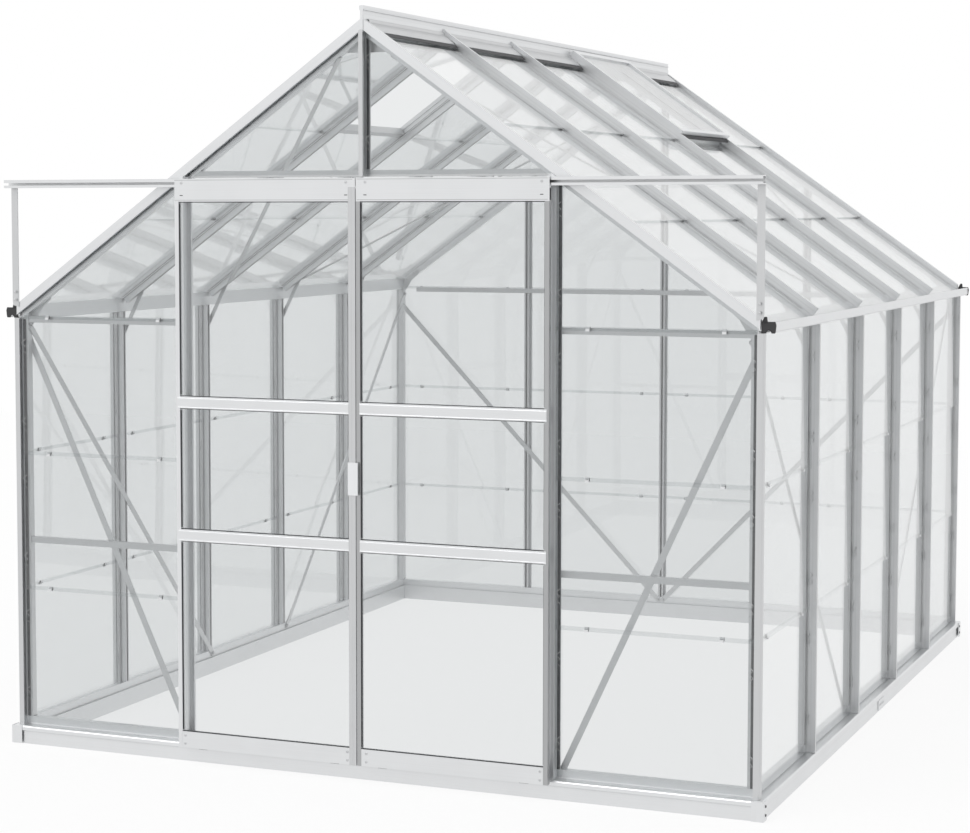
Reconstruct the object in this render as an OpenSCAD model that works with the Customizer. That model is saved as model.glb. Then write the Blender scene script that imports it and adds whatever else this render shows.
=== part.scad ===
// Glass greenhouse: aluminium glazing bars on a base rail, lapped glass panes,
// two roof vents and a pair of sliding doors on a track across the front gable.
// X runs across the front, the front faces -Y and Z is up. Millimetres.

/* [House] */
// Spacing of the glazing bars, the same on walls and roof
bay = 620; // [500:1:760]
// Number of bays across each gable
bays_wide = 4; // [4:2:4]
// Number of bays along each side
bays_long = 5; // [4:1:6]
// Height of the roof's outer plane above the outer bay line
eave_h = 1462; // [1200:1:1760]
// Slope of the roof, in degrees
pitch = 35.5; // [32:0.1:40]

/* [Glazing bars] */
// How far the glazing planes stand inside the outer bay lines
inset = 9; // [8:0.5:14]
// Half width of a bar's flanges
flange_half = 17; // [16:0.5:20]
// Thickness of the flanges
flange_t = 2.5; // [2:0.1:3]
// Half width of a bar's inner web
web_half = 10; // [8:0.5:12]
// Depth of the inner web behind the glazing plane
web_depth = 22; // [18:0.5:26]
// Wall of a bar's hollow profile
wall_t = 1.8; // [1.4:0.1:2.4]
// Half width of a bar's neck, between the panes
neck_half = 3.5; // [2.5:0.1:4]
// Half width of a bar's outer cap
cap_half = 7; // [6:0.5:8]
// Depth of a bar's outer cap
cap_depth = 13; // [10:0.5:16]
// Distance from the glazing plane out to the bar's cap
bar_out = 32; // [28:0.5:36]

/* [Corner posts and rafters] */
// How far the corner posts and rafters stand outside the glazing planes
edge_out = 21; // [19:0.5:24]
// Width of a corner post's outer faces
post_face = 21; // [18:0.5:22]
// Height of a gable rafter's outer face, with its lip
rafter_face = 28; // [24:0.5:32]
// Thickness of the lip along a rafter's foot
rafter_lip = 8; // [5:0.5:9]
// Radius of a corner post's outer edge
post_round = 8; // [4:0.5:9]
// Width of the glazing flanges of a corner post or rafter
edge_flange = 13; // [11:0.5:16]

/* [Glass] */
// Thickness of the glass
glass_t = 3; // [3:0.5:4]
// Thickness of the rubber glazing strip
strip_t = 1.7; // [1.2:0.1:2]
// Distance from the glazing plane to a pane's inner face
glass_seat = 2; // [1.9:0.1:2.4]
// Clearance between a pane's side edge and a bar's neck
glass_side_gap = 1.5; // [1:0.1:2]
// Rise from one wall pane's foot to the next
wall_lap_pitch = 445; // [380:1:520]
// Gap between the base rail and the lowest pane's foot
glass_lift = 5; // [3:0.5:8]
// Overlap of one pane over the pane below it
lap = 12; // [8:1:20]
// How far the foot of an upper pane stands out from its head
lap_step = 5.5; // [5:0.1:7]
// How far the roof panes reach past the wall's glazing plane
eave_over = 10; // [6:0.5:16]
// Number of pane rows on each roof slope
roof_rows = 3; // [3:1:3]

/* [Base] */
// Height of the base rail
base_h = 60; // [50:0.5:72]
// How far the base rail stands outside the glazing plane
base_out = 30; // [27:0.5:38]
// How far the base rail reaches inside the glazing plane
base_in = 30; // [24:0.5:40]
// Height of the sill on top of the base rail
sill_h = 26; // [20:0.5:36]
// Height of the rounded drip ledge along the rail's outer face
ledge_h = 18; // [12:0.5:24]
// How far the drip ledge stands proud of the rail's outer face
ledge_out = 5; // [3:0.5:7]
// Wall of the base rail
base_t = 2; // [1.6:0.1:3]

/* [Gutter and ridge] */
// Outer face of the gutter, measured outwards from the glazing plane
gutter_out = 50; // [44:0.5:60]
// Height of the gutter's outer wall
gutter_wall = 31; // [26:0.5:40]
// Drop of the gutter's floor below the eave
gutter_drop = 25; // [20:0.5:28]
// Width of the eave beam's box
eave_box = 25; // [22:0.5:30]
// Height of the ridge beam above the roof's apex
ridge_rise = 24; // [18:0.5:34]
// Half thickness of the ridge beam
ridge_half = 5; // [4.5:0.5:8]
// Half width of the lip along the ridge beam's top
ridge_lip = 8; // [7:0.5:12]

/* [Roof vents] */
// How far the left vent stands open, in degrees
vent_open = 20.5; // [0:0.5:35]
// Head of a vent, down the slope from the apex
vent_head = -8; // [-10:1:10]
// Length of a vent down the slope
vent_len = 528; // [440:1:540]
// Width of a vent's frame members
vent_rail = 22; // [18:0.5:30]
// Thickness of a vent's frame
vent_t = 14; // [10:0.5:18]

/* [Sliding doors] */
// Width of one door leaf
leaf_w = 621; // [520:1:700]
// Gap between the closed leaves
leaf_gap = 2; // [2:0.5:6]
// Top of the door leaves
leaf_top = 1851; // [1700:1:1900]
// Bottom of the door leaves
leaf_foot = 52; // [46:0.5:80]
// Thickness of a door leaf
leaf_t = 18; // [16:0.5:22]
// Clearance between a door leaf and the wall behind it
leaf_clear = 20; // [12:0.5:22]
// Width of a door stile
stile_w = 14; // [12:0.5:24]
// Height of a door's mid rails
mid_rail_h = 38; // [30:0.5:50]
// Height of a door's bottom rail
foot_rail_h = 53; // [40:0.5:60]
// Underside of a door's lower mid rail
mid_rail_1 = 713; // [620:1:760]
// Underside of a door's upper mid rail
mid_rail_2 = 1133; // [1060:1:1200]
// Height of the track on which the doors hang
track_h = 26; // [25:0.5:36]
// How far the track's ends reach past the outer bay lines
track_over = 15; // [13:0.5:30]
// Radius of a door wheel
wheel_r = 8; // [6:0.5:8]
// Width of the two hangers at the track's ends
hanger_w = 23; // [16:0.5:30]

/* [Braces] */
// Width of a diagonal brace
brace_w = 20; // [14:0.5:26]
// Thickness of a brace or a gusset plate
brace_t = 3; // [2:0.1:4]

/* [Hidden] */

$fn = 32;
seat = 0.3;                                  // gap between two pieces that bear on each other
half_w = bay * bays_wide / 2;                // outer bay line of the side walls
length = bay * bays_long;                    // bay line of the back gable
glaze_x = half_w - inset;                    // glazing plane of a side wall
edge_half = neck_half + glass_side_gap;      // half gap between two panes at a bar
edge_neck_end = edge_out + flange_t;         // inner end of a corner post's neck
edge_pane = edge_neck_end + glass_side_gap;  // pane edge, measured from the outer corner
edge_web_end = edge_out + web_depth;         // inner face of a corner post's web
edge_flange_end = edge_out + edge_flange;    // inner end of a corner post's glazing flanges
rafter_neck_end = bar_out + flange_t;        // the same three depths under the roof's outer plane
rafter_pane = rafter_neck_end + glass_side_gap;
rafter_web_end = bar_out + web_depth;
rafter_lip_end = bar_out - edge_out + rafter_face;
corner_u = edge_out - inset;                 // outer corner beyond the bay line
cap_u = bar_out - inset;                     // faces of the gable bars' caps beyond the bay line
web_foot = base_h + sill_h + seat;           // foot of the bars' webs, on the sill
nose_foot = base_h + 1;                      // foot of the bars' outer caps
glass_foot = base_h + glass_lift;

apex = eave_h + half_w * tan(pitch);         // apex of the roof's outer plane
roof_base = apex - bar_out / cos(pitch);     // apex of the roof's glazing plane
// Height of the plane that lies depth below the roof's outer plane
function roof_z(x, depth) = apex - abs(x) * tan(pitch) - depth / cos(pitch);

eave_top = roof_z(glaze_x, bar_out);         // height where the roof and wall glazing planes meet
eave_foot = eave_top - 30;                   // underside of the eave beam
gutter_floor = eave_top - gutter_drop;       // underside of the gutter's floor
gutter_clear = gutter_floor + 5;             // height at which pieces clear the gutter's floor
wall_glass_top = gutter_floor - 3;
ridge_foot = roof_base - web_depth / cos(pitch) - 14; // underside of the ridge beam
ridge_end_foot = roof_z(0, min(rafter_neck_end + 3, rafter_lip_end)) + seat;
bar_foot = (glaze_x - eave_box - 1) / cos(pitch);
cap_foot = (glaze_x + eave_over) / cos(pitch) - 4;    // foot of the roof bars' caps, over the gutter
gable_in = edge_web_end - corner_u;          // inner face of the gable framing
gusset_in = gable_in + seat + brace_t;       // inner face of the gusset plates

glass_eave = (glaze_x + eave_over) / cos(pitch);      // foot of the lowest roof pane, down the slope
glass_ridge = (ridge_half + 2) / cos(pitch); // head of the highest roof pane
roof_lap_pitch = (glass_eave - glass_ridge - lap) / roof_rows;

vent_seat = bar_out + 0.5;                   // underside of a closed vent
vent_side = 11;                              // how far a vent's sides overlap the bars
vent_bay_left = 1;                           // bay of the left vent, counted from the front
vent_bay_right = 3;                          // bay of the right vent
vent_sill_foot = glass_ridge + roof_lap_pitch - 0.7;
vent_sill_w = 18;

track_z = leaf_top - track_h;                // underside of the track
track_back = -cap_u - seat;                  // back face of the track, on the bars' caps
leaf_back = -cap_u - leaf_clear;             // back face of the door leaves
leaf_front = leaf_back - leaf_t;
track_front = leaf_front + 2 + 5;            // front face of the track, behind the leaf's plate
track_t = 3;
track_half = half_w + track_over;
jamb_x = bay;                                // bay line of the door jambs
header_z = leaf_top + 4;                     // underside of the header
header_h = 20;
box_rail_top = track_z - 6;                  // top of the hollow part of a leaf's top rail
top_rail_foot = leaf_top - 71;
wheel_z = track_z + 1 + track_t + wheel_r + seat;
wheel_inset = 80;

handle_z = 888;
handle_h = 100;
handle_out = 12;
cap_plate = 5;                               // thickness of the gutter's end caps
front_reach = leaf_front - handle_out - seat;
cover_t = 2;                                 // thickness of the base's corner covers
cover_out = base_out + ledge_out + seat + cover_t;    // outer face of the corner covers
back_reach = length + max(cap_plate + seat, cap_u, cover_out - inset);
origin_y = -(front_reach + back_reach) / 2;  // puts the origin under the middle of the house

white = "#e9ebec";
silver = "#c9ccce";
grey = "#a9adb0";
black = "#26282a";
pane = "#cfe0e4";

// ---- Placing: u runs along the wall, v points outwards, z is up ----
module placed() {
    translate([0, origin_y, 0]) children();
}
module on_front() {
    translate([0, inset, 0]) mirror([0, 1, 0]) children();
}
module on_back() {
    translate([0, length - inset, 0]) children();
}
module on_right() {
    translate([glaze_x, 0, 0]) mirror([1, -1, 0]) children();
}
module on_left() {
    mirror([1, 0, 0]) on_right() children();
}
// On the roof u runs along the ridge, v points outwards and z runs down the slope
module on_right_slope() {
    translate([0, 0, roof_base]) rotate([0, pitch, 0]) rotate([90, 0, 90]) children();
}
module on_left_slope() {
    mirror([1, 0, 0]) on_right_slope() children();
}
module both_sides() {
    children();
    mirror([1, 0, 0]) children();
}
module both_gables() {
    children();
    translate([0, length, 0]) mirror([0, 1, 0]) children();
}

// A bar of rectangular section between two corners
module block(lo, hi) {
    translate(lo) cube(hi - lo);
}
// Everything below a plane parallel to the roof, for pieces that end under the rafters
module under_roof(depth) {
    wide = half_w + 100;
    rotate([90, 0, 0]) linear_extrude(height = 400, center = true) polygon([
        [-wide, 0], [wide, 0], [wide, roof_z(wide, depth)], [0, roof_z(0, depth)],
        [-wide, roof_z(wide, depth)]]);
}
// A flat strap with clipped ends from p to q, w wide and t thick in local z
module strap(p, q, w, t) {
    run = q - p;
    far = norm(run);
    translate([p[0], p[1], 0]) rotate(atan2(run[1], run[0])) linear_extrude(height = t) polygon([
        [-w / 2, -w / 4], [-w / 4, -w / 2], [far + w / 4, -w / 2], [far + w / 2, -w / 4],
        [far + w / 2, w / 4], [far + w / 4, w / 2], [-w / 4, w / 2], [-w / 2, w / 4]]);
}

// ---- Sections ----
module nose_section() {
    translate([-neck_half, 0]) square([2 * neck_half, bar_out - cap_depth + 1]);
    translate([-cap_half, bar_out - cap_depth]) square([2 * cap_half, cap_depth]);
}
// Glazing bar: flanges, a slotted inner channel, a neck and an outer cap
module bar_section() {
    slot_half = 3.5;
    nose_section();
    translate([-flange_half, -flange_t]) square([2 * flange_half, flange_t]);
    difference() {
        translate([-web_half, -web_depth]) square([2 * web_half, web_depth]);
        translate([-web_half + wall_t, -web_depth + wall_t])
            square([2 * (web_half - wall_t), web_depth - wall_t - flange_t]);
        translate([-slot_half, -web_depth - 1]) square([2 * slot_half, 4]);
    }
}
module bar(z0, z1) {
    translate([0, 0, z0]) linear_extrude(height = z1 - z0) bar_section();
}
module bar_nose(z0, z1) {
    translate([0, 0, z0]) linear_extrude(height = z1 - z0) nose_section();
}
// Edge profile in two halves, measured inwards from its outer corner
module edge_core(round_r) {
    difference() {
        union() {
            translate([round_r, 0]) square([post_face - round_r, post_face]);
            translate([0, round_r]) square([post_face, post_face - round_r]);
            translate([round_r, round_r]) circle(r = round_r);
        }
        translate([wall_t + 1, wall_t + 1]) square(post_face - 2 * wall_t - 2);
    }
}
module edge_neck() {
    translate([post_face - wall_t, post_face - wall_t]) square(edge_neck_end - post_face + wall_t);
}
module edge_flanges() {
    translate([edge_out, edge_out]) square([edge_flange, flange_t]);
    translate([edge_out, edge_out]) square([flange_t, edge_flange]);
    translate([edge_out, edge_out]) difference() {
        square(web_depth);
        translate([flange_t, flange_t]) square(web_depth - flange_t - wall_t);
    }
}

// ---- Base ----
module base_section() {
    difference() {
        translate([-base_in, 0]) square([base_in + base_out, base_h]);
        translate([-base_in + base_t, base_t])
            square([base_in + base_out - 2 * base_t, base_h - 2 * base_t]);
    }
    translate([-web_depth, base_h - 0.5]) difference() {
        square([web_depth, sill_h + 0.5]);
        translate([base_t, base_t]) square([web_depth - 2 * base_t, sill_h - 2 * base_t]);
    }
    translate([base_out - 0.5, base_h - ledge_h]) polygon([
        [0, 0], [ledge_out - 1.5, 0], [ledge_out + 0.5, 2], [ledge_out + 0.5, ledge_h - 5],
        [ledge_out - 1, ledge_h - 2], [ledge_out - 4, ledge_h], [0, ledge_h]]);
}
// Keeps the stretch of a rail between two mitred corners, in wall coordinates
module mitred(u0, u1) {
    reach = 80;
    intersection() {
        children();
        translate([0, 0, -1]) linear_extrude(height = base_h + sill_h + 2) polygon([
            [u0 + reach + inset + seat, -reach], [u1 - reach - inset - seat, -reach],
            [u1 + reach - inset - seat, reach], [u0 - reach + inset + seat, reach]]);
    }
}
module rail(u0, u1) {
    translate([u0, 0, 0]) rotate([90, 0, 90]) linear_extrude(height = u1 - u0) base_section();
}
module long_rail() {
    joint_u = length / 2 + 50;
    plate_half = 45;
    mitred(0, length) {
        rail(-80, joint_u - seat);
    }
    mitred(0, length) {
        rail(joint_u + seat, length + 80);
    }
    block([joint_u - plate_half, base_out + seat, 5],
        [joint_u + plate_half, base_out + 2.5, base_h - ledge_h - 2]);
}
module base_front() {
    color(white) placed() on_front() mitred(-half_w, half_w) rail(-half_w - 80, half_w + 80);
}
module base_back() {
    color(white) placed() on_back() mitred(-half_w, half_w) rail(-half_w - 80, half_w + 80);
}
module base_right() {
    color(white) placed() on_right() long_rail();
}
module base_left() {
    color(white) placed() on_left() long_rail();
}
// Angle covers over the mitred corners of the base
module base_corners() {
    leg = 38;
    color(silver) placed() both_sides() both_gables() translate([glaze_x + cover_out, inset - cover_out, 0])
        difference() {
            block([-leg, 0, 1], [0, leg, base_h - 0.5]);
            block([-leg - 1, cover_t, 0], [-cover_t, leg + 1, base_h]);
        }
}

// ---- Upright framing ----
module corner_post() {
    translate([half_w + corner_u, -corner_u, 0]) mirror([1, 0, 0]) {
        translate([0, 0, base_h + seat]) linear_extrude(height = gutter_floor - base_h - 2 * seat)
            edge_core(post_round);
    }
    intersection() {
        translate([half_w + corner_u, -corner_u, 0]) mirror([1, 0, 0])
            translate([0, 0, web_foot]) linear_extrude(height = eave_top - web_foot) {
                edge_neck();
                edge_flanges();
            }
        under_roof(rafter_web_end + seat);
    }
}
module corner_posts() {
    color(white) placed() both_sides() both_gables() corner_post();
}
module side_wall_bars() {
    color(silver) placed() both_sides() on_right() for (k = [1 : bays_long - 1]) translate([k * bay, 0, 0]) {
        bar(web_foot, eave_foot - seat);
        bar_nose(nose_foot, gutter_floor - 2);
    }
}
// An upright of a gable wall, cut off under the rafters
module gable_bar(x, web_z, web_top, nose_z) {
    intersection() {
        translate([x, 0, 0]) bar(web_z, web_top);
        under_roof(rafter_web_end + seat);
    }
    intersection() {
        translate([x, 0, 0]) bar_nose(nose_z, roof_z(x, 0));
        under_roof(max(rafter_neck_end, rafter_lip_end) + seat);
    }
}
module back_wall_bars() {
    color(silver) placed() on_back() for (k = [1 - bays_wide / 2 : bays_wide / 2 - 1])
        gable_bar(k * bay, web_foot, apex, nose_foot);
}
module door_jambs() {
    color(silver) placed() both_sides() on_front() gable_bar(jamb_x, web_foot, header_z - seat, nose_foot);
}
module front_gable_bar() {
    color(silver) placed() on_front() gable_bar(0, header_z + header_h + seat, apex, header_z);
}
module door_header() {
    color(silver) placed() on_front() intersection() {
        block([-jamb_x, -web_depth, header_z], [jamb_x, 0, header_z + header_h]);
        under_roof(rafter_web_end + seat);
    }
}

// ---- Roof framing ----
module gutter_side() {
    wall = 2;
    translate([glaze_x, gable_in + brace_t + 2 * seat, 0]) rotate([90, 0, 0]) mirror([0, 0, 1])
        linear_extrude(height = length - 2 * (gable_in + brace_t + 2 * seat)) difference() {
            polygon([[-eave_box, eave_foot], [0, eave_foot], [0, eave_top],
                [-eave_box, roof_z(glaze_x - eave_box, bar_out)]]);
            translate([-eave_box + wall, eave_foot + wall]) square([eave_box - 2 * wall, 24]);
        }
    floor_z = gutter_floor;
    rim_z = gutter_floor + gutter_wall;
    out = gutter_out + 0.5;
    translate([glaze_x - 0.5, 0, 0]) rotate([90, 0, 0]) mirror([0, 0, 1])
        linear_extrude(height = length) polygon([
            [0, floor_z], [14, floor_z], [out - 3, floor_z + 2], [out, floor_z + 6], [out, rim_z],
            [out - 5, rim_z], [out - 5, rim_z - wall], [out - wall, rim_z - wall],
            [out - wall, floor_z + 6 + wall], [out - 4, floor_z + 2 + wall], [14, floor_z + wall],
            [0, floor_z + wall]]);
}
module right_gutter() {
    color(white) placed() gutter_side();
}
module left_gutter() {
    color(white) placed() mirror([1, 0, 0]) gutter_side();
}
module gutter_end_caps() {
    side = half_w + 1 - glaze_x;
    wide = gutter_out + 3 - side;
    tall = gutter_wall + 2;
    color(black) placed() both_sides() both_gables() translate([glaze_x + side, -seat, gutter_floor])
        rotate([90, 0, 0]) linear_extrude(height = cap_plate) difference() {
            polygon([[0, 1], [1, tall - 2], [2, tall], [wide - 3, tall], [wide, tall - 10],
                [wide - 2, 4], [wide - 4, 0], [1, 0]]);
            translate([wide / 2, 0]) circle(d = 16);
        }
}
module ridge_length(y0, y1) {
    wall = 1.6;
    top = apex + ridge_rise;
    lip_z = top - 14;
    face_z = top - 26;
    translate([0, y1, 0]) rotate([90, 0, 0]) linear_extrude(height = y1 - y0) {
        difference() {
            translate([-ridge_half, ridge_foot]) square([2 * ridge_half, face_z - ridge_foot]);
            translate([wall - ridge_half, ridge_foot + wall])
                square([2 * (ridge_half - wall), face_z - ridge_foot - 2 * wall]);
        }
        translate([-ridge_half + 2, face_z - 0.5]) square([2 * ridge_half - 4, lip_z - face_z + 1]);
        translate([-ridge_lip, lip_z]) square([2 * ridge_lip, 2]);
        translate([-ridge_half + 1, lip_z + 1.5]) square([2 * ridge_half - 2, top - lip_z - 1.5]);
    }
}
// Keeps the ridge beam's lower part between the two gables, clear of their framing
module between_gables() {
    difference() {
        children();
        for (y = [-200, length - gusset_in - seat])
            block([-100, y, ridge_foot - 50], [100, y + 200 + gusset_in + seat, ridge_end_foot]);
    }
}
module ridge_beam() {
    joint_y = 3 * bay;
    color(white) placed() between_gables() {
        ridge_length(-corner_u, joint_y - seat);
        ridge_length(joint_y + seat, length + corner_u);
    }
}
module rafter() {
    run = (half_w + 40) / cos(pitch);
    difference() {
        on_right_slope() translate([-corner_u, edge_out, -40]) mirror([0, 1, 0])
            linear_extrude(height = run + 40) {
                edge_core(2);
                edge_neck();
                edge_flanges();
                square([rafter_lip, rafter_face]);
            }
        block([-60, -60, apex - 200], [ridge_half + seat, 60, apex + 60]);
        block([half_w, -60, eave_top - 100], [half_w + 100, 60, eave_top + 100]);
        block([glaze_x - 3 * seat, -60, eave_top - 100], [half_w + 100, 60, gutter_clear]);
    }
}
module gable_rafters() {
    color(white) placed() both_sides() both_gables() rafter();
}
// The bars of a slope, cut off beside the ridge beam; their caps run on over the gutter
module roof_bars() {
    color(silver) placed() both_sides() for (k = [1 : bays_long - 1]) difference() {
        on_right_slope() translate([k * bay, 0, 0]) {
            bar(-40, bar_foot);
            translate([0, seat, 0]) bar_nose(bar_foot - 1, cap_foot);
        }
        block([-100, k * bay - 60, apex - 200], [ridge_half + seat, k * bay + 60, apex + 60]);
    }
}

// ---- Track and cross bars ----
module door_track() {
    nib = 4;
    color(silver) placed() translate([-track_half, 0, 0]) rotate([90, 0, 90])
        linear_extrude(height = 2 * track_half) polygon([
            [track_back, track_z], [track_back, leaf_top], [track_front, leaf_top],
            [track_front, leaf_top - 10], [track_front + 2, leaf_top - 10],
            [track_front + 2, leaf_top - track_t], [track_back - track_t, leaf_top - track_t],
            [track_back - track_t, track_z + 1 + track_t],
            [track_front + 2, track_z + 1 + track_t], [track_front + 2, track_z + 1 + track_t + nib],
            [track_front, track_z + 1 + track_t + nib], [track_front, track_z]]);
}
module track_hangers() {
    x1 = half_w + corner_u;
    x0 = x1 - hanger_w;
    face_y = -corner_u - seat;
    tip_z = gutter_floor + gutter_wall + 10;
    color(silver) placed() both_sides() {
        translate([0, face_y, 0]) rotate([90, 0, 0]) linear_extrude(height = track_t) polygon([
            [x0, tip_z - 5], [x1 - 2, tip_z], [x1, tip_z + 14], [x1, leaf_top - 1], [x0, leaf_top - 1]]);
        block([x0, track_back + seat, track_z + 2], [x1, face_y - track_t + 0.5, leaf_top - 4]);
    }
}
module front_cross_bars() {
    bar_h = 20;
    bar_deep = web_depth - flange_t - seat - 3;
    color(silver) placed() both_sides() on_front() for (z = [664, eave_foot - 11]) intersection() {
        block([jamb_x + web_half + seat, -flange_t - seat - bar_deep, z],
            [half_w + corner_u - edge_web_end - seat, -flange_t - seat, z + bar_h]);
        under_roof(rafter_web_end + seat);
    }
}
module back_eave_bar() {
    color(silver) placed() on_back() block([-half_w + 100, -web_depth - seat - 13, eave_foot - 11],
        [half_w - 100, -web_depth - seat, eave_foot + 9]);
}

// ---- Braces and plates ----
// Straps on the inner face of a wall, in wall coordinates
module wall_strap(p, q) {
    translate([0, -web_depth - seat, 0]) rotate([90, 0, 0]) strap(p, q, brace_w, brace_t);
}
module wall_braces() {
    post_u = inset + brace_w / 2 + 1;
    post_x = glaze_x - brace_w / 2 - 3;
    foot_z = base_h + 14;
    color(silver) placed() both_sides() {
        on_right() {
            wall_strap([post_u, eave_foot - 24], [2 * bay + 10, foot_z]);
            wall_strap([length - post_u, eave_foot - 24], [3 * bay + 20, foot_z]);
        }
        on_front() wall_strap([post_x, eave_foot - 68], [jamb_x + 14, foot_z]);
        on_back() wall_strap([post_x, eave_foot - 66], [brace_w / 2 + 1, foot_z]);
    }
}
module roof_braces() {
    color(silver) placed() both_sides() on_right_slope() for (m = [0, 1])
        translate([m * length, 0, 0]) mirror([m, 0, 0]) translate([0, -web_depth - seat, 0])
            rotate([90, 0, 0]) strap([inset + brace_w / 2 + 2, 130], [2 * bay - 10, bar_foot - 95],
                brace_w, brace_t);
}
module eave_struts() {
    foot = [glaze_x - 14, eave_foot - 75];
    strut_w = 14;
    head = [glaze_x - 95, roof_z(glaze_x - 95, bar_out + flange_t + strut_w / 2 + 1.5)];
    color(silver) placed() both_sides() for (k = [1 : bays_long - 1])
        translate([0, k * bay + web_half + seat + brace_t, 0]) rotate([90, 0, 0])
            strap(foot, head, strut_w, brace_t);
}
module gusset_plates() {
    out_x = glaze_x - 4;
    in_x = out_x - 91;
    foot_x = glaze_x - web_depth + 3;
    apex_half = 80;
    color(silver) placed() both_gables() translate([0, gable_in + seat + brace_t, 0])
        rotate([90, 0, 0]) linear_extrude(height = brace_t) {
            for (m = [0, 1]) mirror([m, 0]) polygon([
                [in_x, roof_z(in_x, rafter_neck_end + 3)], [out_x, roof_z(out_x, rafter_neck_end + 3)],
                [out_x, eave_foot - 25], [foot_x, eave_foot - 25],
                [out_x - 40, eave_foot + 8], [out_x - 60, roof_z(out_x - 60, rafter_web_end + 7)],
                [in_x, roof_z(in_x, rafter_web_end + 3)]]);
            polygon([[0, roof_z(0, rafter_neck_end + 3)], [apex_half, roof_z(apex_half, rafter_neck_end + 3)],
                [apex_half - 8, roof_z(apex_half, rafter_neck_end + 3) - 12],
                [8 - apex_half, roof_z(apex_half, rafter_neck_end + 3) - 12],
                [-apex_half, roof_z(apex_half, rafter_neck_end + 3)]]);
        }
}

// ---- Glass ----
// A pane from foot to head; an upper pane's foot stands out over the pane below
module pane(u0, u1, z0, z1, step) {
    translate([u0, 0, 0]) rotate([90, 0, 90]) linear_extrude(height = u1 - u0) polygon([
        [glass_seat + step, z0], [glass_seat + glass_t + step, z0],
        [glass_seat + glass_t, z1], [glass_seat, z1]]);
}
function pane_start(k) = k == 0 ? edge_pane - corner_u : k * bay + edge_half;
function pane_end(k, n) = k == n - 1 ? n * bay - edge_pane + corner_u : (k + 1) * bay - edge_half;
module side_panes() {
    rows = max(1, round((wall_glass_top - glass_foot) / wall_lap_pitch));
    for (k = [0 : bays_long - 1]) for (r = [0 : rows - 1]) {
        z0 = glass_foot + r * wall_lap_pitch;
        pane(pane_start(k), pane_end(k, bays_long), z0,
            r == rows - 1 ? wall_glass_top : z0 + wall_lap_pitch + lap, r == 0 ? 0 : lap_step);
    }
}
module right_wall_glass() {
    color(pane) placed() on_right() side_panes();
}
module left_wall_glass() {
    color(pane) placed() on_left() side_panes();
}
// The panes of one gable bay, cut to the slope of the rafters
module gable_panes(u0, u1, z_foot) {
    peak = roof_z(u0, rafter_pane);
    rows = max(1, round((peak - glass_foot) / wall_lap_pitch));
    intersection() {
        for (r = [0 : rows - 1]) {
            z0 = glass_foot + r * wall_lap_pitch;
            head = r == rows - 1 ? peak : z0 + wall_lap_pitch + lap;
            if (head > z_foot + 4 * lap)
                pane(u0, u1, max(z0, z_foot), head, z0 > z_foot ? lap_step : 0);
        }
        under_roof(rafter_pane);
    }
}
module gable_bay(k) {
    last = bays_wide / 2 - 1;
    gable_panes(k * bay + edge_half, k == last ? half_w + corner_u - edge_pane : (k + 1) * bay - edge_half,
        glass_foot);
}
module back_wall_glass() {
    color(pane) placed() both_sides() on_back() for (k = [0 : bays_wide / 2 - 1]) gable_bay(k);
}
module front_wall_glass() {
    color(pane) placed() both_sides() on_front() {
        gable_bay(bays_wide / 2 - 1);
        gable_panes(edge_half, jamb_x - edge_half, header_z + 6);
    }
}
module roof_panes(vent_bay) {
    for (k = [0 : bays_long - 1]) for (r = [0 : roof_rows - 1]) {
        foot = glass_eave - r * roof_lap_pitch;
        if (!(k == vent_bay && r == roof_rows - 1))
            translate([0, 0, foot]) mirror([0, 0, 1])
                pane(pane_start(k), pane_end(k, bays_long), 0, roof_lap_pitch + lap, r == 0 ? 0 : lap_step);
    }
}
module right_roof_glass() {
    color(pane) placed() on_right_slope() roof_panes(vent_bay_right);
}
module left_roof_glass() {
    color(pane) placed() on_left_slope() roof_panes(vent_bay_left);
}

// ---- Rubber glazing strips ----
module strip(u, z0, z1) {
    strip_w = 9;
    block([u, 0, z0], [u + strip_w, strip_t, z1]);
}
module bar_strips(u, z0, z1) {
    strip(u + edge_half + 2, z0, z1);
    strip(u - edge_half - 11, z0, z1);
}
module wall_seals() {
    post_in = half_w + corner_u - edge_flange_end;
    color(black) placed() both_sides() {
        on_right() {
            for (k = [1 : bays_long - 1]) bar_strips(k * bay, web_foot, eave_foot - seat);
            strip(edge_flange_end - corner_u - 9, web_foot, eave_foot - seat);
            strip(length - edge_flange_end + corner_u, web_foot, eave_foot - seat);
        }
        for (m = [0, 1]) translate([0, m * length, 0]) mirror([0, m, 0]) on_front()
            strip(post_in, web_foot, eave_foot - seat);
        on_back() {
            intersection() {
                bar_strips(jamb_x, web_foot, apex);
                under_roof(rafter_web_end + 2);
            }
            intersection() {
                strip(edge_half + 2, web_foot, apex);
                under_roof(rafter_web_end + 2);
            }
        }
        on_front() {
            intersection() {
                strip(jamb_x + edge_half + 2, web_foot, apex);
                under_roof(rafter_web_end + 2);
            }
            intersection() {
                strip(edge_half + 2, header_z + header_h + 2, apex);
                under_roof(rafter_web_end + 2);
            }
        }
    }
}
module roof_seals() {
    strip_head = (ridge_half + 2) / cos(pitch);
    color(black) placed() both_sides() on_right_slope() {
        for (k = [1 : bays_long - 1]) bar_strips(k * bay, strip_head, bar_foot - 1);
        strip(edge_flange_end - corner_u - 9, strip_head, bar_foot - 1);
        strip(length - edge_flange_end + corner_u, strip_head, bar_foot - 1);
    }
}

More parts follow.
